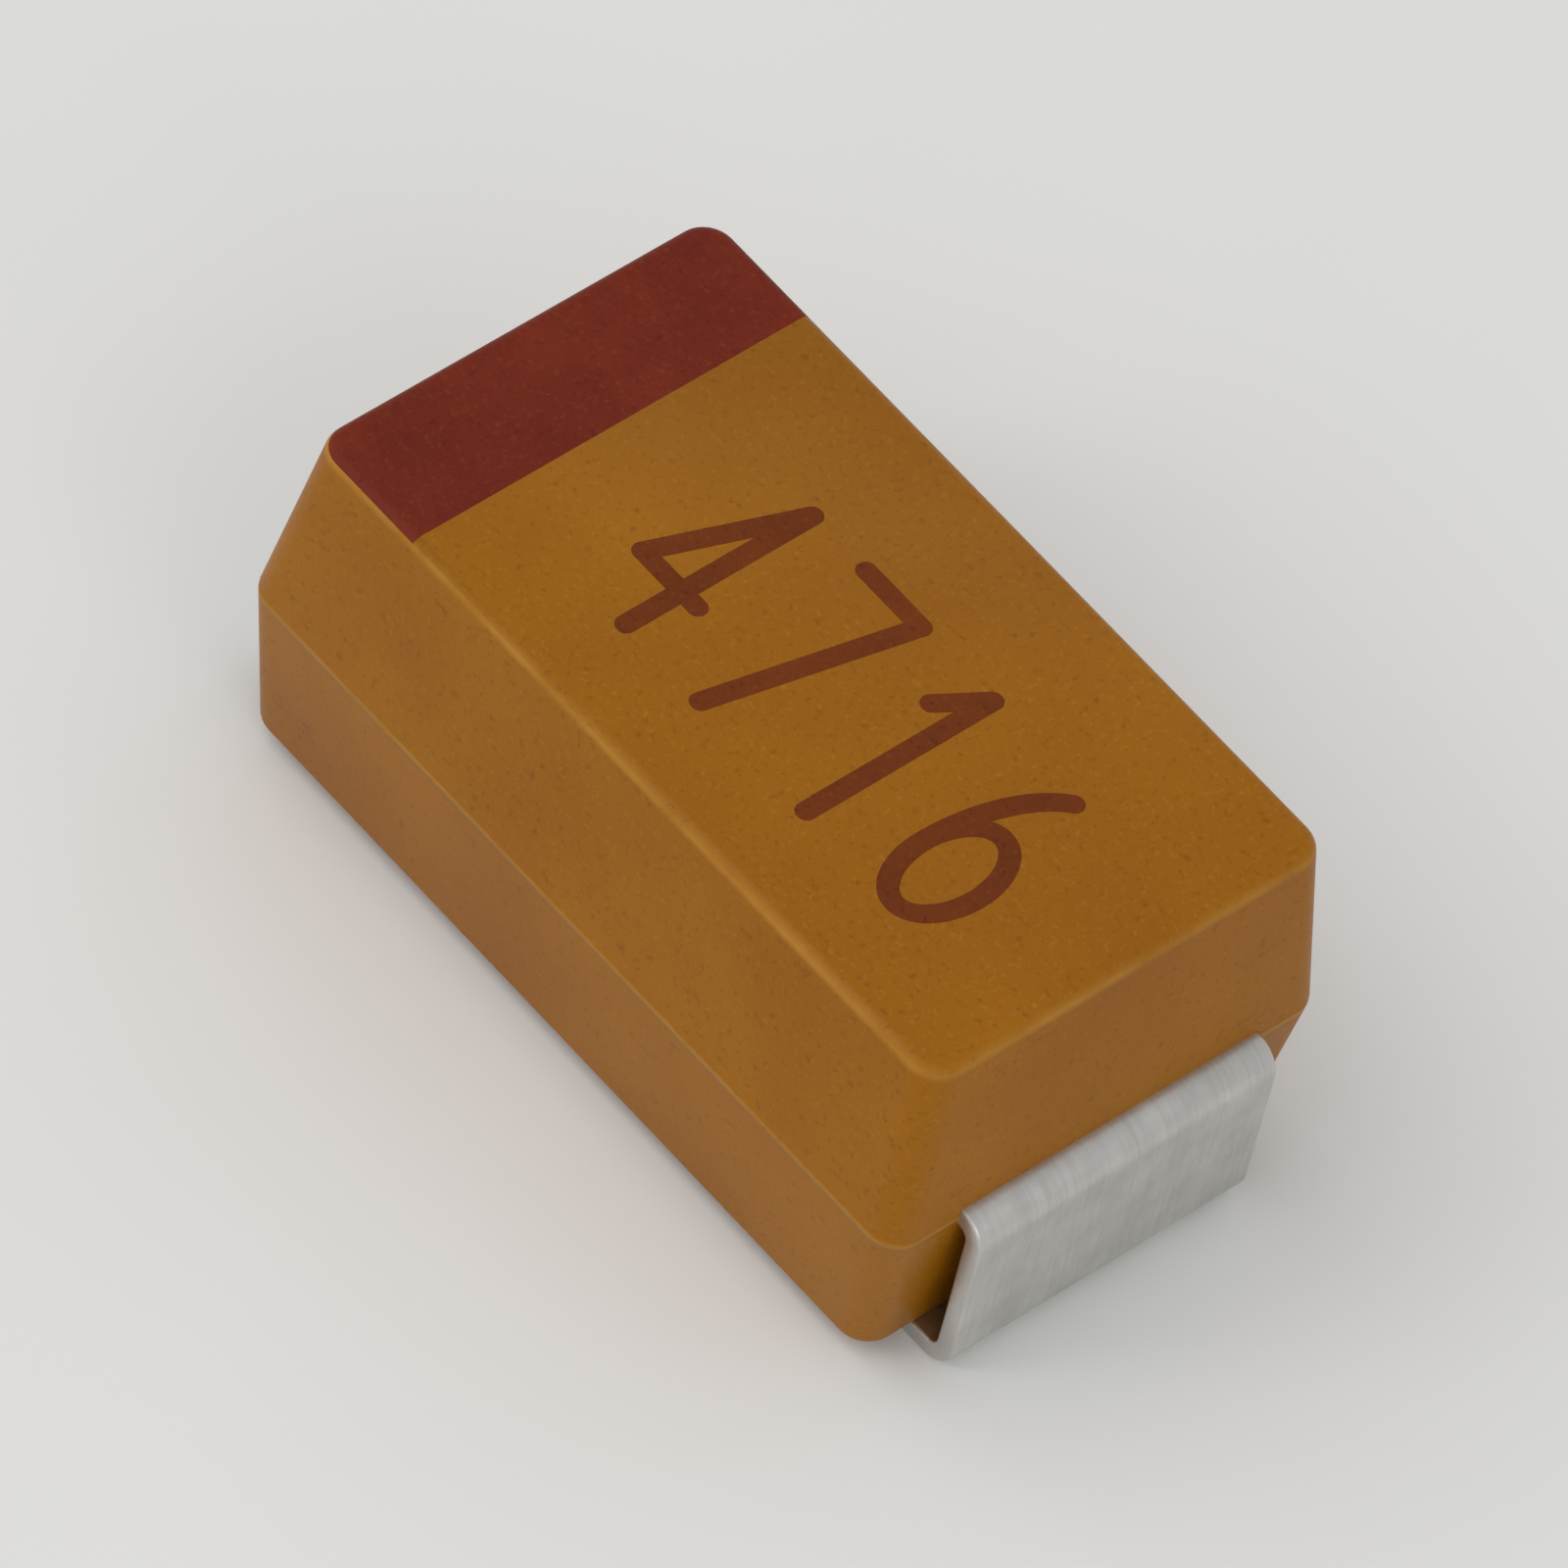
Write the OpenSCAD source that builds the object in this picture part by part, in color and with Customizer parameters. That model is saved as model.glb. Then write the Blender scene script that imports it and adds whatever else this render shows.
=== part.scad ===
// Moulded tantalum chip capacitor in the 6032 case size.
//
// A sintered tantalum pellet with its coats is bonded to a stepped cathode
// frame, its riser wire is welded to the anode frame, and both frames leave a
// moulded epoxy case at the parting line and fold under it as solder pads.
//
// Frame: the pads sit on z = 0, the case is centred on the origin with its
// long axis on X, and the banded anode end points to -X.

/* [Package] */
// Length over the folded terminals
overall_l = 6.0; // [5.4:0.1:7.3]
// Width of the case at its parting line
case_w = 3.2; // [3.0:0.1:4.3]
// Height of the case top above the board
overall_h = 2.6; // [2.5:0.1:3.1]
// Height of the case underside above the board
standoff = 0.10; // [0.06:0.01:0.12]

/* [Moulded case] */
// Height of the parting line above the board
parting_z = 1.25; // [1.20:0.01:1.32]
// Draft of the walls above and below the parting line, degrees from upright
draft = 6; // [3:0.5:7]
// Height of the upright land that the two mould halves leave at the parting line
land_h = 0.03; // [0.01:0.01:0.06]
// Radius of the four upright corners
corner_r = 0.20; // [0.14:0.02:0.30]
// Radius along the top and bottom edges
edge_r = 0.08; // [0.04:0.01:0.12]
// Epoxy between the cathode riser and the end of the case
end_wall = 0.35; // [0.30:0.01:0.40]
// Play between a folded foot and its pocket in the underside
pocket_gap = 0.05; // [0.02:0.01:0.10]

/* [Terminals] */
// Thickness of the lead frame sheet
sheet_t = 0.13; // [0.12:0.01:0.15]
// Inner radius of every fold in the sheet
bend_r = 0.07; // [0.05:0.01:0.09]
// Width of a terminal outside the case
terminal_w = 2.2; // [2.1:0.1:2.4]
// Length of a folded foot, measured from the outer face of the leg
foot_l = 1.3; // [1.0:0.1:1.6]
// Depth inside the case at which a frame narrows and keys into the epoxy
key_depth = 0.14; // [0.10:0.01:0.20]
// Length of the anode tab inside the case
tab_l = 0.97; // [0.87:0.01:1.07]
// Width of the anode tab inside the case
tab_w = 1.8; // [1.7:0.1:2.0]
// Width of the cathode shelf under the pellet
shelf_w = 2.0; // [1.9:0.1:2.1]
// Distance that the tip of the shelf stays back from the silver coat's front edge
shelf_back = 0.32; // [0.10:0.02:0.80]
// Diameter of the two holes that lock the anode tab into the epoxy
lock_hole_d = 0.30; // [0.20:0.02:0.34]
// Distance of the lock holes from the end of the case
lock_hole_in = 0.42; // [0.36:0.01:0.46]
// Distance of each lock hole from the wire
lock_hole_out = 0.55; // [0.45:0.01:0.60]

/* [Anode pellet] */
// Width of the pellet
pellet_w = 2.24; // [1.84:0.1:2.34]
// Height of the pellet
pellet_h = 1.44; // [1.24:0.05:1.54]
// Radius of the pellet's long edges
pellet_r = 0.16; // [0.10:0.02:0.30]
// Diameter of the tantalum riser wire
wire_d = 0.30; // [0.24:0.02:0.32]
// Length of wire sintered into the pellet
wire_embed = 2.4; // [1.8:0.1:3.0]
// Diameter of the insulating washer
washer_d = 0.90; // [0.70:0.05:1.10]
// Thickness of the insulating washer
washer_t = 0.12; // [0.08:0.01:0.16]
// Free wire between the washer and the anode tab
wire_free = 0.30; // [0.20:0.02:0.36]
// Length of wire welded on the anode tab
weld_l = 0.50; // [0.40:0.02:0.54]
// Depth that the weld sinks the wire into the tab
weld_sink = 0.03; // [0.02:0.01:0.05]

/* [Pellet coats] */
// Thickness of the manganese dioxide coat
oxide_t = 0.03; // [0.02:0.01:0.04]
// Thickness of the graphite coat
graphite_t = 0.02; // [0.02:0.01:0.03]
// Thickness of the silver coat
silver_t = 0.03; // [0.02:0.01:0.04]
// Distance that the graphite stays back from the pellet's wire face
graphite_back = 0.16; // [0.10:0.02:0.20]
// Distance that the silver stays back from the pellet's wire face
silver_back = 0.34; // [0.26:0.02:0.50]
// Thickness of the silver adhesive under and behind the pellet
adhesive_t = 0.05; // [0.04:0.01:0.06]
// Width of the adhesive bed
adhesive_w = 1.7; // [1.3:0.1:1.8]
// Distance that the adhesive bed stays back from the tip of the shelf
adhesive_back = 0.20; // [0.10:0.05:0.40]
// Height that the adhesive climbs the cathode riser
adhesive_climb = 0.50; // [0.30:0.05:0.55]

/* [Marking] */
// Length of the polarity band, from the anode end of the case top
band_l = 0.86; // [0.60:0.02:1.20]
// Depth of the band in the case top, which is also how far it reaches down the rim
band_t = 0.03; // [0.02:0.01:0.04]

/* [Hidden] */

$fn = 32;
arc_steps = 6;   // flats that stand for a quarter turn in the pellet's outlines
over = 0.5;      // how far a cutting tool runs past what it cuts

epoxy_gold = [0.64, 0.42, 0.09];
band_brown = [0.48, 0.14, 0.11];
tin_grey = [0.76, 0.76, 0.74];
tantalum_grey = [0.36, 0.37, 0.40];
wire_grey = [0.55, 0.56, 0.60];
washer_white = [0.93, 0.93, 0.90];
oxide_black = [0.12, 0.10, 0.09];
graphite_grey = [0.20, 0.20, 0.21];
silver_coat_grey = [0.72, 0.72, 0.70];
adhesive_grey = [0.60, 0.60, 0.57];

// Lead frame: a fold's mean radius, and the straight runs between the folds.
fold_r = bend_r + sheet_t / 2;
case_l = overall_l - 2 * (sheet_t + bend_r);
case_end = case_l / 2;
foot_tip = overall_l / 2 - foot_l;
foot_run = foot_l - sheet_t / 2 - fold_r;
leg_run = parting_z - sheet_t / 2 - 2 * fold_r;

// Pellet: it fills the length between the anode tab and the cathode riser.
coat_t = oxide_t + graphite_t + silver_t;
tab_tip = -case_end + tab_l;
washer_face = tab_tip + wire_free;
pellet_face = washer_face + washer_t;
riser_face = case_end - end_wall - sheet_t;
pellet_end = riser_face - adhesive_t - coat_t;
wire_z = parting_z + sheet_t / 2 + wire_d / 2 - weld_sink;
shelf_z = wire_z - pellet_h / 2 - coat_t - adhesive_t;
silver_front = pellet_face + silver_back;
shelf_tip = silver_front + shelf_back;

exit_run = end_wall - bend_r;
drop_run = parting_z - shelf_z + sheet_t / 2 - 2 * fold_r;
shelf_run = riser_face - bend_r - shelf_tip;

// Half the length or width of the case at a height z, given the half at the parting line.
function drafted(half, z) = half - abs(z - parting_z) * tan(draft);

// The points of a rectangle w by h about the origin, with corners of radius r.
function rounded_rectangle(w, h, r) = [
  for (corner = [0:3], step = [0:arc_steps])
    let (
      turn = 90 * corner + 90 * step / arc_steps,
      side = [[1, 1], [-1, 1], [-1, -1], [1, -1]][corner]
    )
    [
      side[0] * (w / 2 - r) + r * cos(turn),
      side[1] * (h / 2 - r) + r * sin(turn)
    ]
];

// ---- Lead frame sheet -------------------------------------------------------

// The ring sector of one fold that turns by `turn` degrees, from a sheet along +X.
module fold(turn) {
  side = sign(turn);
  reach = 3 * fold_r;
  translate([0, side * fold_r])
    intersection() {
      difference() {
        circle(fold_r + sheet_t / 2);
        circle(bend_r);
      }
      polygon([
        [0, 0],
        [0, -side * reach],
        reach * [sin(abs(turn) / 2), -side * cos(turn / 2)] * sqrt(2),
        reach * [sin(abs(turn)), -side * cos(turn)]
      ]);
    }
}

// Side view of a folded sheet that starts at the origin along +X.
// Each entry of runs is [straight length, turn of the fold after it].
module folded_profile(runs, i = 0) {
  translate([0, -sheet_t / 2]) square([runs[i][0], sheet_t]);
  if (i < len(runs) - 1)
    translate([runs[i][0], 0]) {
      turn = runs[i][1];
      fold(turn);
      translate(fold_r * [sin(abs(turn)), sign(turn) * (1 - cos(turn))])
        rotate(turn) folded_profile(runs, i + 1);
    }
}

module folded_sheet(runs, width)
  rotate([90, 0, 0])
    linear_extrude(width, center = true)
      folded_profile(runs);

// Foot, leg and the full-width stub that enters the case, at the +X end.
module outer_leg()
  translate([foot_tip, 0, sheet_t / 2])
    folded_sheet([[foot_run, 90], [leg_run, 90], [key_depth, 0]], terminal_w);

// The anode frame before the weld sinks the wire into its tab.
module anode_sheet()
  difference() {
    union() {
      mirror([1, 0, 0]) outer_leg();
      translate([-case_end, 0, parting_z]) folded_sheet([[tab_l, 0]], tab_w);
    }
    for (side = [-1, 1])
      translate([-case_end + lock_hole_in, side * lock_hole_out, parting_z])
        cylinder(d = lock_hole_d, h = sheet_t + over, center = true);
  }

module cathode_sheet() {
  outer_leg();
  translate([case_end, 0, parting_z])
    mirror([1, 0, 0])
      folded_sheet([[exit_run, -90], [drop_run, 90], [shelf_run, 0]], shelf_w);
}

// ---- Anode assembly ---------------------------------------------------------

// The pellet's block grown by `coat` all round, from x = start to x = end.
module coated_block(coat, start, end)
  translate([start, 0, wire_z])
    rotate([90, 0, 90])
      linear_extrude(end - start)
        polygon(rounded_rectangle(
          pellet_w + 2 * coat, pellet_h + 2 * coat, pellet_r + coat));

module pellet_block() coated_block(0, pellet_face, pellet_end);

module oxide_block()
  coated_block(oxide_t, pellet_face - oxide_t, pellet_end + oxide_t);

module graphite_block()
  coated_block(oxide_t + graphite_t, pellet_face + graphite_back,
    pellet_end + oxide_t + graphite_t);

module silver_block()
  coated_block(coat_t, silver_front, pellet_end + coat_t);

// A round bar along +X on the wire's axis, from x = start to x = end.
module wire_bar(d, start, end)
  translate([start, 0, wire_z])
    rotate([0, 90, 0]) cylinder(d = d, h = end - start);

module riser_wire() wire_bar(wire_d, tab_tip - weld_l, pellet_face + wire_embed);

module washer_disc() wire_bar(washer_d, washer_face, pellet_face);

// Space for the adhesive along the shelf and up the riser. It reaches half way
// into the sheet and the silver coat, so that no film of epoxy is left between them.
module adhesive_space() {
  bed_start = shelf_tip + adhesive_back;
  fill_t = sheet_t / 2 + adhesive_t + silver_t / 2;
  translate([bed_start, -adhesive_w / 2, shelf_z - sheet_t / 2])
    cube([riser_face + sheet_t / 2 - bed_start, adhesive_w, fill_t]);
  translate([riser_face + sheet_t / 2 - fill_t, -adhesive_w / 2, shelf_z])
    cube([fill_t, adhesive_w, adhesive_climb]);
}

// ---- Case -------------------------------------------------------------------

module at_case_corners(z)
  for (x = [-1, 1], y = [-1, 1])
    translate([
      x * (drafted(case_end, z) - corner_r),
      y * (drafted(case_w / 2, z) - corner_r),
      z
    ])
      children();

// One corner of a rim: a disc of corner_r with an edge rounded to edge_r.
module corner_rim()
  rotate_extrude()
    intersection() {
      translate([corner_r - edge_r, 0]) circle(edge_r);
      translate([0, -edge_r]) square([corner_r, 2 * edge_r]);
    }

// Outer form: rounded rims at the top and underside, widest at the parting line.
module case_form()
  hull() {
    for (z = [standoff + edge_r, overall_h - edge_r])
      at_case_corners(z) corner_rim();
    at_case_corners(parting_z) cylinder(r = corner_r, h = land_h, center = true);
  }

// The shallow pockets in the underside that the feet fold into.
module foot_pockets()
  for (turn = [0, 180])
    rotate(turn)
      translate([foot_tip - pocket_gap, -terminal_w / 2 - pocket_gap, standoff - over])
        cube([case_end, terminal_w + 2 * pocket_gap, sheet_t - standoff + over]);

// The layer of the top that the band takes, cut past the rim at the anode end.
module band_slab()
  translate([-case_end, -case_w / 2, overall_h - band_t])
    cube([case_end - drafted(case_end, overall_h) + band_l, case_w, band_t + over]);

// ---- Named parts ------------------------------------------------------------

module case()
  color(epoxy_gold)
    difference() {
      case_form();
      silver_block();
      graphite_block();
      oxide_block();
      washer_disc();
      riser_wire();
      adhesive_space();
      anode_sheet();
      cathode_sheet();
      foot_pockets();
      band_slab();
    }

module polarity_band()
  color(band_brown)
    intersection() {
      case_form();
      band_slab();
    }

module anode_terminal()
  color(tin_grey)
    difference() {
      anode_sheet();
      riser_wire();
    }

module cathode_terminal() color(tin_grey) cathode_sheet();

module anode_wire() color(wire_grey) riser_wire();

module insulating_washer()
  color(washer_white)
    difference() {
      washer_disc();
      riser_wire();
    }

module tantalum_pellet()
  color(tantalum_grey)
    difference() {
      pellet_block();
      riser_wire();
    }

module manganese_dioxide_coat()
  color(oxide_black)
    difference() {
      oxide_block();
      pellet_block();
      washer_disc();
    }

module graphite_coat()
  color(graphite_grey)
    difference() {
      graphite_block();
      oxide_block();
    }

module silver_coat()
  color(silver_coat_grey)
    difference() {
      silver_block();
      graphite_block();
    }

module silver_adhesive()
  color(adhesive_grey)
    difference() {
      adhesive_space();
      cathode_sheet();
      silver_block();
    }

case();
polarity_band();
anode_terminal();
cathode_terminal();
anode_wire();
insulating_washer();
tantalum_pellet();
manganese_dioxide_coat();
graphite_coat();
silver_coat();
silver_adhesive();
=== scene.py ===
# %% [markdown]
# # A moulded tantalum chip capacitor
#
# The object is a surface-mount capacitor 6 mm long. A mustard-coloured epoxy
# case with a dark band over its anode end sits on two tinned terminals that
# fold under it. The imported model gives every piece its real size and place,
# in metres. This file finishes it: it smooths the case, folds the terminals
# from sheet, marks the top, and gives every piece its surface.

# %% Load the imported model
import math

import bmesh
import bpy
import numpy as np
from mathutils import Matrix, Vector


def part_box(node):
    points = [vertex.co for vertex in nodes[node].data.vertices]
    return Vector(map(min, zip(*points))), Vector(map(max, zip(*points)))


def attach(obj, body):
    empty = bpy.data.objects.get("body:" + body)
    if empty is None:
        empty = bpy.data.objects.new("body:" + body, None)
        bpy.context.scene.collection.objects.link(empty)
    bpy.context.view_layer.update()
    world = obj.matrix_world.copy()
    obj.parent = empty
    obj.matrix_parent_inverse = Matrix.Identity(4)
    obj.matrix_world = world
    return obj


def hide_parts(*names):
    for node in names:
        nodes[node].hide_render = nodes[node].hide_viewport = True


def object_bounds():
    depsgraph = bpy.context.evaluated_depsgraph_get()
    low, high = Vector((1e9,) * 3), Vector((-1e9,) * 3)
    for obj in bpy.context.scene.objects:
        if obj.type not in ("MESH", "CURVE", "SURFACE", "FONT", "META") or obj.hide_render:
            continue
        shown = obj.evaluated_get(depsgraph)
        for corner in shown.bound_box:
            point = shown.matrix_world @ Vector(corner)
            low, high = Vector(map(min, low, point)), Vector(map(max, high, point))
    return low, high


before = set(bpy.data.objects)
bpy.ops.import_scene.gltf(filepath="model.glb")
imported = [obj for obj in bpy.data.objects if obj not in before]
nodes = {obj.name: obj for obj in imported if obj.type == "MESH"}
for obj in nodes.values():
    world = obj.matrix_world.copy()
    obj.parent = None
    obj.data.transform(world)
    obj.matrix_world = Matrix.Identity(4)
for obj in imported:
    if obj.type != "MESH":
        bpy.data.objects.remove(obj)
cad_bounds = [list(map(float, corner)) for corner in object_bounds()]
MM = 0.001                # a millimetre, in metres
print("nodes:", ", ".join(sorted(nodes)))
print("box, mm:", [[round(x / MM, 3) for x in corner] for corner in cad_bounds])

# %% [markdown]
# ## Camera
#
# A part this small is seen from a hand's breadth away through a long lens,
# which keeps its long edges nearly parallel. The camera is placed by azimuth
# and elevation around the part, and then rolled about its own line of sight,
# so that the part lies at a slant in the view. Angles are used rather than a
# typed position, so the distance can change without the view turning.

# %% Camera
VIEW_AZIMUTH = 38.0       # degrees round from -Y towards +X
VIEW_ELEVATION = 51.5     # degrees above the floor
VIEW_ROLL = 14.6          # degrees about the line of sight
VIEW_DISTANCE = 118 * MM
VIEW_SPAN = 8.7 * MM      # width of the view at the part
SENSOR = 36.0             # width of the sensor, in the lens's millimetres
CLIP_NEAR = 1 * MM
CLIP_FAR = 10.0           # metres


def sight(azimuth, elevation):
    """Unit vector from the part towards a camera or a lamp: (sin a cos e, -cos a cos e, sin e)."""
    a, e = math.radians(azimuth), math.radians(elevation)
    return Vector((math.sin(a) * math.cos(e), -math.cos(a) * math.cos(e), math.sin(e)))


def turn_to(back):
    """The turn that makes a camera or a lamp look along -back, with its top side up."""
    return back.to_track_quat("Z", "Y").to_matrix().to_4x4()


def place_camera(target):
    """A camera at target + back * distance, rolled about its line of sight. The lens is
    sensor width * distance / span."""
    back = sight(VIEW_AZIMUTH, VIEW_ELEVATION)
    data = bpy.data.cameras.new("camera")
    data.sensor_width = SENSOR
    data.lens = SENSOR * VIEW_DISTANCE / VIEW_SPAN
    data.clip_start = CLIP_NEAR
    data.clip_end = CLIP_FAR
    camera = bpy.data.objects.new("camera", data)
    bpy.context.scene.collection.objects.link(camera)
    roll = Matrix.Rotation(math.radians(VIEW_ROLL), 4, "Z")
    camera.matrix_world = Matrix.Translation(target + back * VIEW_DISTANCE) @ turn_to(back) @ roll
    bpy.context.scene.camera = camera
    return camera


low, high = (Vector(corner) for corner in cad_bounds)
camera = place_camera((low + high) / 2)
print("lens %.0f mm" % camera.data.lens)

# %% [markdown]
# ## Helpers for meshes
#
# Every new piece is a grid of points worked out with numpy. One helper puts a
# grid into a mesh. It can join the last row to the first, which makes a tube,
# and it closes each open end with a fan of triangles, so that every piece is
# a shell with no holes.

# %% Grid to mesh
def add_object(name, vertices, faces):
    """A mesh object at the origin, in metres, with its place in its vertices."""
    mesh = bpy.data.meshes.new(name)
    mesh.from_pydata(np.asarray(vertices, float).tolist(), [], faces)
    mesh.validate()
    piece = bpy.data.objects.new(name, mesh)
    bpy.context.scene.collection.objects.link(piece)
    return piece


def tube_faces(rings, around, first=0):
    """Quads of a grid of `rings` closed rings of `around` points, and a fan at each end.
    The two points after the grid are the centres of the first and the last ring."""
    i = np.arange(rings - 1)[:, None]
    j = np.arange(around)[None, :]
    k = (j + 1) % around
    quads = np.stack([i * around + j, i * around + k, (i + 1) * around + k, (i + 1) * around + j], -1)
    start, end = rings * around, rings * around + 1
    last = (rings - 1) * around
    one = np.arange(around)
    two = (one + 1) % around
    near = np.stack([np.full(around, start), two, one], -1)
    far = np.stack([np.full(around, end), last + one, last + two], -1)
    faces = (quads.reshape(-1, 4) + first).tolist()
    return faces + (near + first).tolist() + (far + first).tolist()


def smooth(piece, sharp_degrees):
    """Shade smooth, but keep edges that turn by more than sharp_degrees sharp."""
    mesh = piece.data
    mesh.polygons.foreach_set("use_smooth", [True] * len(mesh.polygons))
    mesh.set_sharp_from_angle(angle=math.radians(sharp_degrees))
    mesh.update()


def face_outwards(piece):
    """Turn the faces of each closed shell outwards."""
    skin = bmesh.new()
    skin.from_mesh(piece.data)
    bmesh.ops.recalc_face_normals(skin, faces=skin.faces)
    skin.to_mesh(piece.data)
    skin.free()


def count(piece):
    """Print how many points and triangles a piece has: a face of n points is n - 2 triangles."""
    triangles = sum(len(p.vertices) - 2 for p in piece.data.polygons)
    print(f"{piece.name}: {len(piece.data.vertices)} points, {triangles} triangles")


# %% [markdown]
# ## Case
#
# The case is moulded epoxy in a two-part tool. Its walls lean in by a few
# degrees above and below the parting line, so that it leaves the tool, and
# its rims and upright corners are rounded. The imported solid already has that
# form, but it arrives as loose flat triangles, which would show as facets on
# the corners. So a copy is merged into one skin and its small turns are
# shaded smooth, while the parting line stays a crisp edge.

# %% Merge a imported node
WELD_GAP = 2e-8           # metres; points closer than this are one point


def merged_copy(node, name):
    """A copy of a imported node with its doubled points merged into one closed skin."""
    piece = bpy.data.objects.new(name, nodes[node].data.copy())
    bpy.context.scene.collection.objects.link(piece)
    skin = bmesh.new()
    skin.from_mesh(piece.data)
    bmesh.ops.remove_doubles(skin, verts=skin.verts, dist=WELD_GAP)
    loose_edges = sum(1 for edge in skin.edges if len(edge.link_faces) != 2)
    skin.to_mesh(piece.data)
    skin.free()
    piece.data.materials.clear()
    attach(piece, "root")
    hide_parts(node)
    print(f"{name}: edges without two faces {loose_edges}")
    return piece


# %% Keep the parting line crisp
def crisp_edges_at(piece, heights, near=2e-6):
    """Mark as sharp each edge that lies level at one of the heights, in metres."""
    mesh = piece.data
    z = np.empty(len(mesh.vertices) * 3)
    mesh.vertices.foreach_get("co", z)
    z = z[2::3]
    ends = np.empty(len(mesh.edges) * 2, int)
    mesh.edges.foreach_get("vertices", ends)
    ends = z[ends.reshape(-1, 2)]
    level = np.zeros(len(ends), bool)
    for height in heights:
        level |= (np.abs(ends - height) < near).all(1)
    sharp = np.zeros(len(ends), bool)
    mesh.attributes["sharp_edge"].data.foreach_get("value", sharp)
    mesh.attributes["sharp_edge"].data.foreach_set("value", sharp | level)
    mesh.update()
    print(f"{piece.name}: {int(level.sum())} crisp parting edges")


# %% Case and band skins
PARTING_Z = 1.25 * MM     # level of the parting line
PARTING_LAND = 0.03 * MM  # height of the upright land between the two leaning walls
CASE_SHARP = 14           # degrees; smaller turns of the case are shaded smooth

case_body = merged_copy("case", "case_body")
smooth(case_body, CASE_SHARP)
crisp_edges_at(case_body, (PARTING_Z - PARTING_LAND / 2, PARTING_Z + PARTING_LAND / 2))
count(case_body)

band_skin = merged_copy("polarity_band", "band_skin")
smooth(band_skin, CASE_SHARP)
count(band_skin)

# %% [markdown]
# ## Terminals
#
# Each terminal is one strip of tinned sheet, 0.13 mm thick, that is folded
# twice outside the case: a foot under it, a leg up its end, and a stub that
# enters it at the parting line. A strip like this is best made the way a
# press makes it. A line along the middle of the sheet is bent with true arcs,
# and the sheet's cross-section, with its slightly rounded sheared edges, is
# carried along that line. The strip is narrower inside the case.

# %% Terminal sizes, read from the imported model
SHEET_T = 0.13 * MM
FOLD_INSIDE = 0.07 * MM   # radius inside a fold
FOLD_R = FOLD_INSIDE + SHEET_T / 2    # radius of the middle of the sheet
EDGE_ROUND = 0.018 * MM   # radius of a sheared edge's corners
FOLD_STEPS = 14
EDGE_STEPS = 4
EDGE_SHARP = 50           # degrees; sheet and strokes keep larger turns crisp

anode_low, anode_high = (Vector(c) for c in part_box("anode_terminal"))
cathode_low, cathode_high = (Vector(c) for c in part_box("cathode_terminal"))
adhesive_low, adhesive_high = (Vector(c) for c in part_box("silver_adhesive"))
case_high = Vector(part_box("case")[1])
TERMINAL_W = anode_high.y - anode_low.y
ENTRY_Z = anode_high.z - SHEET_T / 2  # middle of the sheet where it enters the case
TAB_W = 1.8 * MM          # width of the anode's tab inside the case
TAB_L = 0.97 * MM         # from the case's end to the tab's tip
SHELF_W = 2.0 * MM        # width of the cathode's riser and shelf
KEY_DEPTH = 0.14 * MM     # run of the full width past the last fold
FOOT_L = 1.3 * MM
print("terminal width %.2f mm, entry height %.3f mm" % (TERMINAL_W / MM, ENTRY_Z / MM))


# %% Bend a line, then carry the section along it
def bent_line(start, heading, runs):
    """Points and headings of a line in the XZ plane that is straight for each run and
    then turns by that run's angle on an arc of FOLD_R. Returns x, z, heading, in order."""
    x, z, h = start[0], start[1], math.radians(heading)
    out = [[x, z, h]]
    for length, turn in runs:
        x, z = x + length * math.cos(h), z + length * math.sin(h)
        out.append([x, z, h])
        if turn:
            side = math.copysign(1.0, turn)
            bend = np.linspace(0, math.radians(turn), FOLD_STEPS + 1)[1:]
            cx, cz = x - side * FOLD_R * math.sin(h), z + side * FOLD_R * math.cos(h)
            arc = np.stack([cx + side * FOLD_R * np.sin(h + bend),
                            cz - side * FOLD_R * np.cos(h + bend), h + bend], -1)
            out.extend(arc.tolist())
            x, z, h = out[-1]
    return np.array(out)


def sheet_section(width):
    """Outline of the sheet's cross-section: a rectangle width by SHEET_T whose corners are
    quarter circles of EDGE_ROUND. The first column runs across, the second through it."""
    turn = np.linspace(0, math.pi / 2, EDGE_STEPS + 1)
    corner = np.arange(4)[:, None] * (math.pi / 2) + turn[None, :]
    sx = np.array([1, -1, -1, 1])[:, None]
    sz = np.array([1, 1, -1, -1])[:, None]
    across = sx * (width / 2 - EDGE_ROUND) + EDGE_ROUND * np.cos(corner)
    through = sz * (SHEET_T / 2 - EDGE_ROUND) + EDGE_ROUND * np.sin(corner)
    return np.stack([across.ravel(), through.ravel()], -1)


def strip(line, widths):
    """Grid of points: at each point of the line the section of that width stands square to
    the heading."""
    sections = np.stack([sheet_section(w) for w in widths])
    x, z, h = line.T
    across, through = sections[..., 0], sections[..., 1]
    px = x[:, None] - through * np.sin(h)[:, None]
    pz = z[:, None] + through * np.cos(h)[:, None]
    return np.stack([px, across, pz], -1)


def fold_terminal(name, node, line, widths):
    """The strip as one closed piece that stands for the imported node."""
    grid = strip(line, widths)
    rings, around = grid.shape[:2]
    points = np.concatenate([grid.reshape(-1, 3), grid[0].mean(0)[None], grid[-1].mean(0)[None]])
    piece = add_object(name, points, tube_faces(rings, around))
    face_outwards(piece)
    smooth(piece, EDGE_SHARP)
    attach(piece, "root")
    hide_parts(node)
    count(piece)
    return piece


# %% Runs of the sheet
def outer_runs():
    """Foot, leg and the stub to the end of the key, from the foot's tip towards the end."""
    foot_run = FOOT_L - SHEET_T / 2 - FOLD_R
    leg_run = ENTRY_Z - SHEET_T / 2 - 2 * FOLD_R
    return [(foot_run, 90), (leg_run, 90), (KEY_DEPTH, 0)]


STEP_RUN = 0.001 * MM     # length over which the width changes


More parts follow.
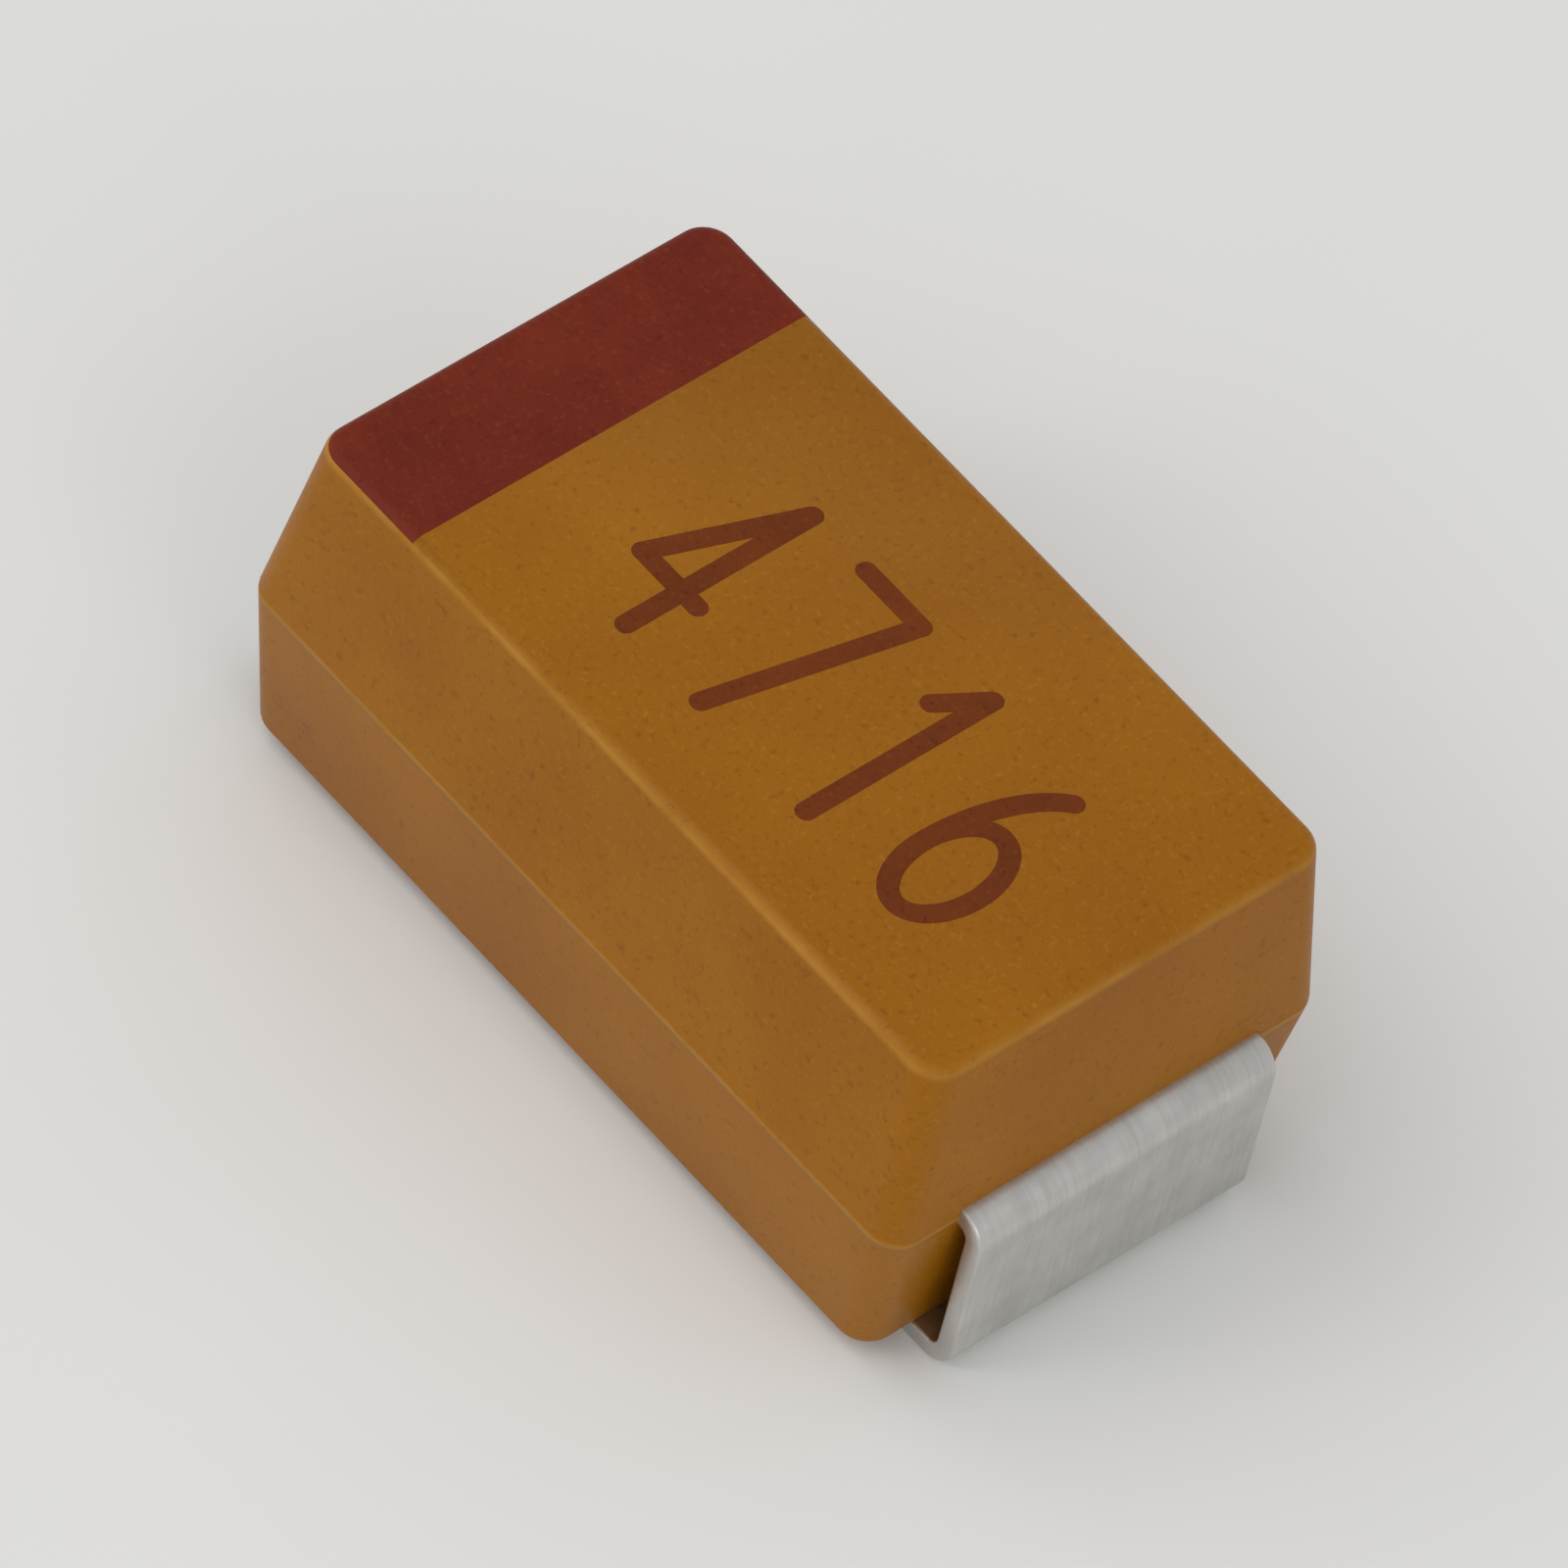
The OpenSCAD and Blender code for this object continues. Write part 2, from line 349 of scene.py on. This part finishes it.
def stepped(line, outer_w, inner_w, inner_runs):
    """The outer line at outer_w, then the inner line from its end at inner_w. The width
    changes over STEP_RUN, so that the faces of the step have an area."""
    x, z, h = line[-1]
    (first, turn), *rest = inner_runs
    start = (x + STEP_RUN * math.cos(h), z + STEP_RUN * math.sin(h))
    inner = bent_line(start, math.degrees(h), [(first - STEP_RUN, turn), *rest])
    widths = [outer_w] * len(line) + [inner_w] * len(inner)
    return np.concatenate([line, inner]), widths


# %% Both terminals
outer = bent_line((cathode_high.x - FOOT_L, SHEET_T / 2), 0, outer_runs())
riser_x = adhesive_high.x + SHEET_T / 2
shelf_z = adhesive_low.z - SHEET_T / 2
stub_x = outer[-1][0]
cathode_line, cathode_widths = stepped(outer, TERMINAL_W, SHELF_W, [
    (stub_x - riser_x - FOLD_R, 90),
    (ENTRY_Z - shelf_z - 2 * FOLD_R, -90),
    (riser_x - FOLD_R - cathode_low.x, 0),
])
cathode_sheet = fold_terminal("cathode_sheet", "cathode_terminal", cathode_line, cathode_widths)

# The anode is folded at the cathode's end like the other, and then mirrored to its own end.
tab_tip = anode_low.x + (cathode_high.x - case_high.x) + TAB_L
anode_line, anode_widths = stepped(outer, TERMINAL_W, TAB_W, [(stub_x - abs(tab_tip), 0)])
anode_line = anode_line * [-1, 1, 1]
anode_line[:, 2] = math.pi - anode_line[:, 2]
anode_sheet = fold_terminal("anode_sheet", "anode_terminal", anode_line, anode_widths)

# %% [markdown]
# ## Marking
#
# Such a case carries a few characters along its top. Here it is a plain
# number, which names no maker and no model. Marking like this is written by a
# single moving spot, so each figure is made of strokes of one width with round
# ends, and two strokes that meet share a round corner. Each stroke is a very
# flat half-round profile carried along its path. Its crown stands only one
# micrometre above the case, as a mark does. The strokes of a figure have
# slightly different crowns, so that no two surfaces coincide where they meet.

# %% Paths of the figures
FIGURE_H = 1.50 * MM       # over the stroke's edges
FIGURE_W = 0.60 * MM
FIGURE_PITCH = 0.80 * MM
STROKE_W = 0.13 * MM
STROKE_CROWN = 0.001 * MM  # height of the crown over the case
STROKE_SINK = 0.003 * MM   # depth of the base in the case
STROKE_STEP = 0.0002 * MM  # each stroke's crown is this much lower than the one before
PATH_STEP = 0.02 * MM      # distance between the points of a path
MARK_X = 0.40 * MM         # middle of the number, along the case
MARK_Y = -0.15 * MM        # middle of the number, across the case
NUMBER = "4716"


def arc(cx, cy, rx, ry, start, end, steps):
    """Points of an ellipse from start to end degrees, in a box that is 1 wide and 1 high."""
    t = np.radians(np.linspace(start, end, steps))
    return np.stack([cx + rx * np.cos(t), cy + ry * np.sin(t)], -1)


def straight(*corners):
    """Points of a path of straight legs from corner to corner, in the same box."""
    return np.array(corners, float)


# Each figure is a list of (path, closed) in a box from (-0.5, 0) to (0.5, 1).
FIGURES = {
    "4": [(straight((0.22, 0.0), (0.22, 1.0)), False),
          (straight((0.22, 1.0), (-0.5, 0.30)), False),
          (straight((-0.5, 0.30), (0.5, 0.30)), False)],
    "7": [(straight((-0.5, 1.0), (0.5, 1.0)), False),
          (straight((0.5, 1.0), (-0.12, 0.0)), False)],
    "1": [(straight((0.10, 0.0), (0.10, 1.0)), False),
          (straight((0.10, 1.0), (-0.28, 0.78)), False)],
    "6": [(arc(0.52, 0.30, 1.02, 0.70, 115, 178, 30), False),
          (arc(0.0, 0.29, 0.5, 0.29, 0, 360, 64)[:-1], True)],
}


# %% Sweep a stroke
def even_path(path, step, closed):
    """The path again in steps of about `step`, each leg divided evenly."""
    if closed:
        path = np.concatenate([path, path[:1]])
    pieces = [path[:1]]
    for a, b in zip(path[:-1], path[1:]):
        n = max(1, int(round(np.hypot(*(b - a)) / step)))
        pieces.append(a + (b - a) * (np.arange(1, n + 1)[:, None] / n))
    even = np.concatenate(pieces)
    return even[:-1] if closed else even


# Across the stroke: place from -1 to 1, and height, where 1 is the crown and -1 the sunk base.
STROKE_ACROSS = np.array([-1.0, -0.9, -0.7, -0.4, 0.0, 0.4, 0.7, 0.9, 1.0, 0.5, -0.5])
STROKE_RISE = np.array([0.0, 0.19, 0.51, 0.84, 1.0, 0.84, 0.51, 0.19, 0.0, -1.0, -1.0])
# Degrees round the half circle that ends a stroke. It stops short of the tip, so that the
# fan that closes it has an area.
END_TURN = np.linspace(10, 80, 8)


def stroke(path, closed, top_z, crown):
    """Grid of a ribbon along a path. Across the ribbon the surface is the parabola
    crown * (1 - s^2). At each end of an open path the width closes as a half circle, and
    the crown falls with the square of the width, so that the end is a round dome."""
    half = STROKE_W / 2
    if closed:
        tangent = np.roll(path, -1, 0) - np.roll(path, 1, 0)
        tangent /= np.hypot(tangent[:, 0], tangent[:, 1])[:, None]
        centre, heading, width = path, tangent, np.full(len(path), half)
    else:
        tangent = np.gradient(path, axis=0)
        tangent /= np.hypot(tangent[:, 0], tangent[:, 1])[:, None]
        turn = np.radians(END_TURN)
        reach, narrow = half * np.cos(turn)[:, None], half * np.sin(turn)
        centre = np.concatenate([path[0] - reach * tangent[0], path,
                                 path[-1] + reach[::-1] * tangent[-1]])
        heading = np.concatenate([np.repeat(tangent[:1], len(turn), 0), tangent,
                                  np.repeat(tangent[-1:], len(turn), 0)])
        width = np.concatenate([narrow, np.full(len(path), half), narrow[::-1]])
    normal = np.stack([-heading[:, 1], heading[:, 0]], -1)
    flat = centre[:, None, :] + normal[:, None, :] * (width[:, None] * STROKE_ACROSS)[..., None]
    crowns = crown * (width[:, None] / half) ** 2
    z = np.where(STROKE_RISE >= 0, STROKE_RISE * crowns, -STROKE_SINK)
    return np.concatenate([flat, (top_z + z)[..., None]], -1)


def loop_faces(rings, around, first):
    """Quads of a grid that closes on itself both along and around, like a ring."""
    i = np.arange(rings)[:, None]
    j = np.arange(around)[None, :]
    n, k = (i + 1) % rings, (j + 1) % around
    quads = np.stack([i * around + j, i * around + k, n * around + k, n * around + j], -1)
    return (quads.reshape(-1, 4) + first).tolist()


# %% Write the number
def write_number(top_z):
    """All strokes of the number in one object. Figure i of n has its middle at
    MARK_X + (i - (n - 1) / 2) * FIGURE_PITCH."""
    points, faces, first = [], [], 0
    size = np.array([FIGURE_W - STROKE_W, FIGURE_H - STROKE_W])
    for i, figure in enumerate(NUMBER):
        place = np.array([MARK_X + (i - (len(NUMBER) - 1) / 2) * FIGURE_PITCH, MARK_Y - size[1] / 2])
        for layer, (path, closed) in enumerate(FIGURES[figure]):
            even = even_path(path * size + place, PATH_STEP, closed)
            grid = stroke(even, closed, top_z, STROKE_CROWN - layer * STROKE_STEP)
            rings, around = grid.shape[:2]
            points.append(grid.reshape(-1, 3))
            if closed:
                faces += loop_faces(rings, around, first)
                first += rings * around
            else:
                points.append(np.stack([grid[0].mean(0), grid[-1].mean(0)]))
                faces += tube_faces(rings, around, first)
                first += rings * around + 2
    piece = add_object("value_marking", np.concatenate(points), faces)
    face_outwards(piece)
    smooth(piece, EDGE_SHARP)
    return piece


value_marking = write_number(case_high.z)
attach(value_marking, "root")
count(value_marking)

# %% [markdown]
# ## Materials
#
# Every finish is built from noise on Object coordinates, which are in metres,
# so a grain of 0.02 mm needs a scale of 50,000. A small set of helpers adds
# nodes, and each finish then says in a few lines what colours it mixes, how
# rough it is and how its surface rises and falls.

# %% Colours from screen values
def srgb(red, green, blue):
    """Linear colour from 0-255 screen values. With c = value / 255 it is
    ((c + 0.055) / 1.055) ** 2.4, or c / 12.92 for the darkest."""
    c = np.array([red, green, blue]) / 255
    lin = np.where(c <= 0.04045, c / 12.92, ((c + 0.055) / 1.055) ** 2.4)
    return (*lin.tolist(), 1.0)


# %% Node helpers
MIX_FACTOR, MIX_A, MIX_B, MIX_RESULT = 0, 6, 7, 2    # a Mix node's sockets when it mixes colours


class Finish:
    """A material with a Principled shader, and short calls that add and link nodes."""

    def __init__(self, name):
        self.material = bpy.data.materials.new(name)
        self.material.use_nodes = True
        self.tree = self.material.node_tree
        self.shader = self.tree.nodes["Principled BSDF"]
        self.place = self.add("ShaderNodeTexCoord").outputs["Object"]
        self.bump_normal = None

    def add(self, kind, **settings):
        """A new node of that kind, with its settings."""
        node = self.tree.nodes.new(kind)
        for key, value in settings.items():
            setattr(node, key, value)
        return node

    def link(self, a, b):
        """Feed output a to input b."""
        self.tree.links.new(a, b)

    def noise(self, grain_mm, detail=3.0, rough=0.55, stretch=(1, 1, 1), offset=(0, 0, 0)):
        """Noise whose blobs are about grain_mm across, stretched along an axis if asked."""
        mapping = self.add("ShaderNodeMapping")
        mapping.inputs["Scale"].default_value = stretch
        mapping.inputs["Location"].default_value = offset
        self.link(self.place, mapping.inputs["Vector"])
        noise = self.add("ShaderNodeTexNoise")
        noise.inputs["Scale"].default_value = 1 / (grain_mm * MM)
        noise.inputs["Detail"].default_value = detail
        noise.inputs["Roughness"].default_value = rough
        self.link(mapping.outputs["Vector"], noise.inputs["Vector"])
        return noise.outputs["Fac"]

    def ramp(self, factor, *stops):
        """A colour ramp: stops are (position, colour)."""
        ramp = self.add("ShaderNodeValToRGB")
        elements = ramp.color_ramp.elements
        elements[0].position, elements[0].color = stops[0]
        elements[1].position, elements[1].color = stops[-1]
        for position, colour in stops[1:-1]:
            elements.new(position).color = colour
        self.link(factor, ramp.inputs["Fac"])
        return ramp.outputs["Color"]

    def mix(self, factor, a, b):
        """Colour a * (1 - factor) + b * factor. Each may be an output or a value."""
        node = self.add("ShaderNodeMix", data_type="RGBA")
        for value, number in ((factor, MIX_FACTOR), (a, MIX_A), (b, MIX_B)):
            if hasattr(value, "is_output"):
                self.link(value, node.inputs[number])
            else:
                node.inputs[number].default_value = value
        return node.outputs[MIX_RESULT]

    def span(self, factor, low, high, start=0.3, end=0.7):
        """The factor from start to end, spread over low to high."""
        node = self.add("ShaderNodeMapRange")
        for name, value in (("From Min", start), ("From Max", end), ("To Min", low), ("To Max", high)):
            node.inputs[name].default_value = value
        self.link(factor, node.inputs["Value"])
        return node.outputs["Result"]

    def level_line(self, z, half):
        """One at the level z, falling evenly to zero at half above and below it: 1 - |Z - z| / half."""
        split = self.add("ShaderNodeSeparateXYZ")
        self.link(self.place, split.inputs[0])
        away = self.add("ShaderNodeMath", operation="SUBTRACT")
        self.link(split.outputs["Z"], away.inputs[0])
        away.inputs[1].default_value = z
        gap = self.add("ShaderNodeMath", operation="ABSOLUTE")
        self.link(away.outputs[0], gap.inputs[0])
        return self.span(gap.outputs[0], 1.0, 0.0, 0.0, half)

    def times(self, a, b):
        """Output a times output b."""
        node = self.add("ShaderNodeMath", operation="MULTIPLY")
        self.link(a, node.inputs[0])
        self.link(b, node.inputs[1])
        return node.outputs[0]

    def bump(self, height, depth_mm, strength=1.0):
        """The surface rises by depth_mm where the height is one. Calls stack."""
        node = self.add("ShaderNodeBump")
        node.inputs["Strength"].default_value = strength
        node.inputs["Distance"].default_value = depth_mm * MM
        self.link(height, node.inputs["Height"])
        if self.bump_normal is not None:
            self.link(self.bump_normal, node.inputs["Normal"])
        self.bump_normal = node.outputs["Normal"]
        self.link(self.bump_normal, self.shader.inputs["Normal"])

    def set(self, **values):
        """The shader's inputs by name, with _ for a space. Each may be an output or a value."""
        for key, value in values.items():
            socket = self.shader.inputs[key.replace("_", " ")]
            if hasattr(value, "is_output"):
                self.link(value, socket)
            else:
                socket.default_value = value


def dress(piece, finish):
    """Give a piece that one finish."""
    piece.data.materials.clear()
    piece.data.materials.append(finish.material)
    print(f"{piece.name}: {finish.material.name}, {len(finish.tree.nodes)} nodes")


# %% [markdown]
# ## Epoxy
#
# Moulding epoxy is mostly fine silica in an amber resin. Close up its colour
# drifts a little from place to place, and it is speckled with filler. The
# tool was spark-eroded, which leaves an even matt grain of a few hundredths
# of a millimetre. Where its halves meet, a thin ridge of flash is left, and
# its paler colour is a painted highlight. The top rim is painted paler too,
# as a painted highlight along it. Broad noise gives the drift, fine noise the
# speckle, and two scales of bump the grain. The flash and the painted rim
# highlight are narrow bands of height, around the parting level and around
# the middle of the rim, broken up by noise.

# %% Grain of the case, also where it is marked
SPECKLE_MM = 0.035        # grains of filler
PIT_MM = 0.05
PIT_SHIFT = (0.01, 0.02, 0.03)        # metres; the pits come from another part of the noise
WAVE_MM = 0.45            # slow waves of the surface
WAVE_DEPTH_MM = 0.005
CASE_SHINE = 0.17         # the epoxy and its marking reflect less than clear plastic does
FINE_BUMP = 0.9
BROAD_BUMP = 0.5
print(f"speckle {SPECKLE_MM} mm, pits {PIT_MM} mm, waves {WAVE_MM} mm")

# %% Epoxy colour
FLASH_HALF = 0.034 * MM   # half the height of the line of flash
RIM_R = 0.08 * MM         # radius of the top rim
AMBER_DARK, AMBER, AMBER_PALE = srgb(150, 91, 0), srgb(156, 97, 1), srgb(162, 103, 4)
FILLER = srgb(186, 134, 46)
PIT_BROWN = srgb(108, 60, 4)
# painted highlight colour of the top rim
RIM_HIGHLIGHT = srgb(182, 128, 48)
# painted highlight colour of the line of flash
FLASH_HIGHLIGHT = srgb(184, 134, 62)

epoxy = Finish("moulded_epoxy")
amber = epoxy.ramp(epoxy.noise(1.6, detail=2.0), (0.30, AMBER_DARK), (0.52, AMBER), (0.72, AMBER_PALE))
speckle = epoxy.noise(SPECKLE_MM, detail=4.0, rough=0.7)
speckled = epoxy.mix(epoxy.span(speckle, 0.0, 0.42, 0.54, 0.78), amber, FILLER)
pits = epoxy.noise(PIT_MM, detail=2.0, offset=PIT_SHIFT)
pitted = epoxy.mix(epoxy.span(pits, 0.42, 0.0, 0.26, 0.42), speckled, PIT_BROWN)
# Line of flash: a real ridge in the bump below, and a painted highlight in the colour, paler along the
# parting level.
flash_and_highlight = epoxy.times(epoxy.level_line(PARTING_Z, FLASH_HALF),
                    epoxy.span(epoxy.noise(0.22, detail=3.0), 0.45, 1.0))
# Painted highlight: the rounded top rim is painted paler, in a band around its middle.
rim_highlight = epoxy.times(epoxy.level_line(case_high.z - RIM_R / 2, RIM_R / 2),
                     epoxy.span(epoxy.noise(0.30, detail=3.0), 0.40, 0.95))
# The painted rim highlight and the flash line's painted highlight are mixed over the epoxy's own
# colour.
epoxy_colour = epoxy.mix(flash_and_highlight, epoxy.mix(rim_highlight, pitted, RIM_HIGHLIGHT), FLASH_HIGHLIGHT)

# %% Epoxy gloss and bump
epoxy.set(Base_Color=epoxy_colour, Roughness=epoxy.span(speckle, 0.34, 0.50),
          Specular_IOR_Level=CASE_SHINE)
epoxy.bump(epoxy.noise(WAVE_MM, detail=2.0), WAVE_DEPTH_MM, BROAD_BUMP)
epoxy.bump(speckle, 0.0040, FINE_BUMP)
epoxy.bump(flash_and_highlight, 0.020, FINE_BUMP)
dress(case_body, epoxy)

# %% [markdown]
# ## Band and number
#
# The band and the figures are marked on the finished case, so the case's
# grain shows through them. They are a dark red-brown with a slightly
# different gloss, and the marking's fine parallel passes show faintly.

# %% Marking finishes
MARK_FILLER = srgb(152, 82, 34)
MARK_PIT = srgb(66, 18, 5)


def mark_finish(name, dark, middle, light):
    """Red-brown marking over the case's own grain, with faint parallel passes."""
    mark = Finish(name)
    grain = mark.noise(SPECKLE_MM, detail=4.0, rough=0.7)
    base = mark.ramp(mark.noise(0.55, detail=3.0), (0.30, dark), (0.52, middle), (0.74, light))
    passes = mark.noise(0.05, detail=1.0, stretch=(1.0, 0.05, 1.0))
    base = mark.mix(mark.span(passes, 0.0, 0.20, 0.42, 0.62), base, dark)
    base = mark.mix(mark.span(grain, 0.0, 0.36, 0.54, 0.78), base, MARK_FILLER)
    pits = mark.noise(PIT_MM, detail=2.0, offset=PIT_SHIFT)
    base = mark.mix(mark.span(pits, 0.45, 0.0, 0.26, 0.42), base, MARK_PIT)
    mark.set(Base_Color=base, Roughness=mark.span(grain, 0.40, 0.55), Specular_IOR_Level=CASE_SHINE)
    mark.bump(mark.noise(WAVE_MM, detail=2.0), WAVE_DEPTH_MM, BROAD_BUMP)
    mark.bump(grain, 0.0036, FINE_BUMP)
    return mark


band_mark = mark_finish("band_mark", srgb(105, 28, 8), srgb(113, 33, 11), srgb(121, 39, 15))
dress(band_skin, band_mark)
dress(nodes["polarity_band"], band_mark)
number_mark = mark_finish("number_mark", srgb(104, 44, 0), srgb(113, 49, 1), srgb(121, 55, 3))
dress(value_marking, number_mark)

# %% [markdown]
# ## Tinned sheet
#
# The terminals are nickel-iron sheet with matt tin over it. Tin plate is a
# fine crystal grain that scatters light softly, with faint lines along the
# direction in which the sheet was rolled, and slightly duller patches.

# %% Tin finish
TIN_DARK, TIN, TIN_PALE = srgb(196, 195, 190), srgb(208, 207, 203), srgb(216, 216, 213)
ROLL_LINE = srgb(178, 177, 173)
TIN_BUMP = 0.6

tin = Finish("tin_plate")
patches = tin.ramp(tin.noise(0.30, detail=3.0), (0.30, TIN_DARK), (0.55, TIN), (0.75, TIN_PALE))
crystals = tin.noise(0.022, detail=3.0, rough=0.6)
rolled = tin.noise(0.03, detail=2.0, stretch=(0.06, 1.0, 0.06))
tin_colour = tin.mix(tin.span(rolled, 0.0, 0.25, 0.45, 0.65), patches, ROLL_LINE)
tin.set(Base_Color=tin_colour, Metallic=1.0, Roughness=tin.span(crystals, 0.30, 0.46))
tin.bump(rolled, 0.0012, TIN_BUMP)
tin.bump(crystals, 0.0010, TIN_BUMP)
dress(cathode_sheet, tin)
dress(anode_sheet, tin)

# %% [markdown]
# ## Inner pieces
#
# Nothing inside the case can be seen, but each piece still gets the finish it
# has when a sample is cut open: grey porous tantalum, a drawn wire, a white
# washer, black manganese dioxide, grey graphite and two silver-filled coats.
# They share one recipe of colour drift, grain and bump.

# %% Inner finishes
DRIFT_GRAINS = 8          # the tone drifts over this many grains


def inner_finish(name, dark, light, grain_mm, depth_mm, rough, metallic):
    """Two tones mixed by broad noise, with a grain of the given size and depth."""
    finish = Finish(name)
    tone = finish.ramp(finish.noise(grain_mm * DRIFT_GRAINS, detail=3.0), (0.32, dark), (0.70, light))
    grain = finish.noise(grain_mm, detail=4.0, rough=0.65)
    tone = finish.mix(finish.span(grain, 0.0, 0.35, 0.45, 0.70), tone, dark)
    finish.set(Base_Color=tone, Metallic=metallic, Roughness=finish.span(grain, *rough))
    finish.bump(grain, depth_mm, 0.8)
    return finish


# node: finish, dark and light tone, grain and its depth in mm, roughness from and to, metallic
INNER = {
    "tantalum_pellet": (
        "sintered_tantalum", (78, 79, 84), (118, 119, 124), 0.03, 0.008, (0.55, 0.75), 0.7),
    "anode_wire": (
        "drawn_wire", (128, 130, 136), (168, 170, 176), 0.02, 0.002, (0.28, 0.42), 1.0),
    "insulating_washer": (
        "white_washer", (224, 224, 218), (240, 240, 236), 0.05, 0.002, (0.35, 0.50), 0.0),
    "manganese_dioxide_coat": (
        "manganese_dioxide", (22, 20, 19), (46, 42, 40), 0.03, 0.006, (0.65, 0.85), 0.0),
    "graphite_coat": (
        "graphite", (42, 42, 44), (68, 68, 70), 0.02, 0.003, (0.45, 0.62), 0.2),
    "silver_coat": (
        "silver_paint", (158, 158, 154), (194, 194, 190), 0.02, 0.003, (0.38, 0.55), 0.8),
    "silver_adhesive": (
        "silver_epoxy", (138, 138, 132), (172, 172, 166), 0.025, 0.004, (0.42, 0.60), 0.7),
}
for node, (name, dark, light, *rest) in INNER.items():
    dress(nodes[node], inner_finish(name, srgb(*dark), srgb(*light), *rest))

# %% [markdown]
# ## Floor and light
#
# The part stands on a plain pale floor under even studio light. A wide dim
# sky lights it from all round, and two large soft lamps give its edges and
# the tin something to shine with. A third, smaller lamp draws a light line
# along the near rim of the case. The sky is kept below the level at which
# pale things turn white, so that the colours render about as written.

# %% Floor
FLOOR_SIZE = 0.6          # metres
FLOOR_CORNERS = np.array([(-1, -1, 0), (1, -1, 0), (1, 1, 0), (-1, 1, 0)])
PAPER_DARK, PAPER_PALE = srgb(232, 232, 230), srgb(236, 236, 234)

floor = add_object("floor", FLOOR_CORNERS * FLOOR_SIZE / 2, [(0, 1, 2, 3)])
paper = Finish("pale_floor")
paper.set(Base_Color=paper.ramp(paper.noise(9.0), (0.3, PAPER_DARK), (0.7, PAPER_PALE)),
          Roughness=0.9, Specular_IOR_Level=0.1)
dress(floor, paper)


# %% Lamps
def soft_lamp(name, azimuth, elevation, distance, size, level):
    """A square lamp that faces the part. Its power gives a surface that faces it a light
    of about `level`, where 1 makes a white card white: power = level * pi^2 * distance^2."""
    back = sight(azimuth, elevation)
    data = bpy.data.lights.new(name, "AREA")
    data.size = size
    data.energy = level * math.pi ** 2 * distance ** 2
    lamp = bpy.data.objects.new(name, data)
    bpy.context.scene.collection.objects.link(lamp)
    lamp.matrix_world = Matrix.Translation(back * distance) @ turn_to(back)
    print(f"{name} lamp: {data.energy * 1000:.1f} mW")


# name: azimuth and elevation in degrees, distance and size in metres, level
LAMPS = {
    "key": (-50, 55, 0.14, 0.12, 0.27),
    "rim": (-27, 34, 0.14, 0.04, 0.06),
    "fill": (70, 35, 0.16, 0.12, 0.14),
}
for name, settings in LAMPS.items():
    soft_lamp(name, *settings)

# %% Sky
SKY_LEVEL = 0.60          # where 1 is white

world = bpy.data.worlds.new("studio")
bpy.context.scene.world = world
world.use_nodes = True
sky = world.node_tree.nodes["Background"]
sky.inputs["Color"].default_value = (1.0, 1.0, 1.0, 1.0)
sky.inputs["Strength"].default_value = SKY_LEVEL
bpy.context.scene.view_settings.view_transform = "Standard"
print("sky level", SKY_LEVEL)
